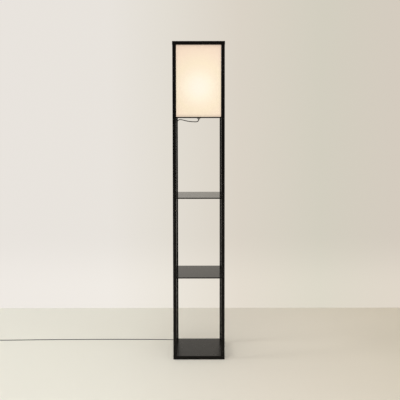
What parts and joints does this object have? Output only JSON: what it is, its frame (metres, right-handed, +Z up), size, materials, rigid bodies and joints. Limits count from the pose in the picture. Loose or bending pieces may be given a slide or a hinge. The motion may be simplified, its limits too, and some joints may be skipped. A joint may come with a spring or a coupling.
{
  "type": "shelf floor lamp",
  "caption": "Square floor lamp whose corner posts carry open shelves and a tall square fabric shade with a bulb inside, on a flat base, with a mains lead.",
  "frame": {"origin": "on the floor, under the middle of the base", "axes": "+Z up, the front is -Y, and +X is to the right seen from the front"},
  "size_m": [1.356, 0.3016, 1.6053],
  "materials": {
    "black_frame": "satin black paint on wood",
    "insert_steel": "zinc plated",
    "zinc_steel": "zinc plated",
    "black_steel": "black oxide",
    "felt": "pressed felt",
    "shade_fabric": "off-white linen weave",
    "shade_liner": "white styrene sheet",
    "shade_wire": "white powder coat",
    "holder_brass": "satin",
    "sleeve_fibre": "pressed fibre",
    "phenolic": "moulded",
    "contact_brass": "plain",
    "black_plastic": "moulded",
    "frosted_glass": "frosted inside",
    "bulb_metal": "rolled thread",
    "lead_vinyl": "smooth vinyl"
  },
  "bodies": {
    "root": {"lower_post_front_left": "black_frame", "lower_post_front_right": "black_frame", "lower_post_rear_left": "black_frame", "lower_post_rear_right": "black_frame", "middle_post_front_left": "black_frame", "middle_post_front_right": "black_frame", "middle_post_rear_left": "black_frame", "middle_post_rear_right": "black_frame", "upper_post_front_left": "black_frame", "upper_post_front_right": "black_frame", "upper_post_rear_left": "black_frame", "upper_post_rear_right": "black_frame", "lamp_post_front_left": "black_frame", "lamp_post_front_right": "black_frame", "lamp_post_rear_left": "black_frame", "lamp_post_rear_right": "black_frame", "lower_shelf": "black_frame", "middle_shelf": "black_frame", "lamp_shelf": "black_frame", "top_rail_front": "black_frame", "top_rail_back": "black_frame", "top_rail_left": "black_frame", "top_rail_right": "black_frame", "base_board": "black_frame", "lower_post_inserts": "insert_steel", "middle_post_inserts": "insert_steel", "upper_post_inserts": "insert_steel", "lamp_post_inserts": "insert_steel", "lower_shelf_studs": "zinc_steel", "middle_shelf_studs": "zinc_steel", "lamp_shelf_studs": "zinc_steel", "clip_nails": "zinc_steel", "base_bolts": "black_steel", "top_bolts": "black_steel", "foot_pads": "felt", "shade_fabric": "shade_fabric", "shade_liner": "shade_liner", "shade_top_ring": "shade_wire", "shade_bottom_ring": "shade_wire", "holder_nipple": "zinc_steel", "holder_washers": "zinc_steel", "holder_nuts": "zinc_steel", "holder_cap": "holder_brass", "holder_shell": "holder_brass", "insulating_sleeve": "sleeve_fibre", "holder_body": "phenolic", "screw_shell": "contact_brass", "centre_contact": "contact_brass", "bulb_glass": "frosted_glass", "bulb_cap": "bulb_metal", "lead_bushing": "black_plastic", "lead_clips": "black_plastic", "post_lead": "lead_vinyl", "floor_lead": "lead_vinyl", "lead_coil": "lead_vinyl", "plug_body": "lead_vinyl", "plug_blades": "contact_brass"},
    "switch_key": {"switch_knob": "black_plastic", "switch_spindle": "contact_brass"}
  },
  "joints": [
    {"name": "switch_turn", "type": "hinge", "parent": "root", "child": "switch_key", "pos_m": [0, -0.02, 1.2662], "axis": [0, 1, 0], "continuous": true}
  ]
}
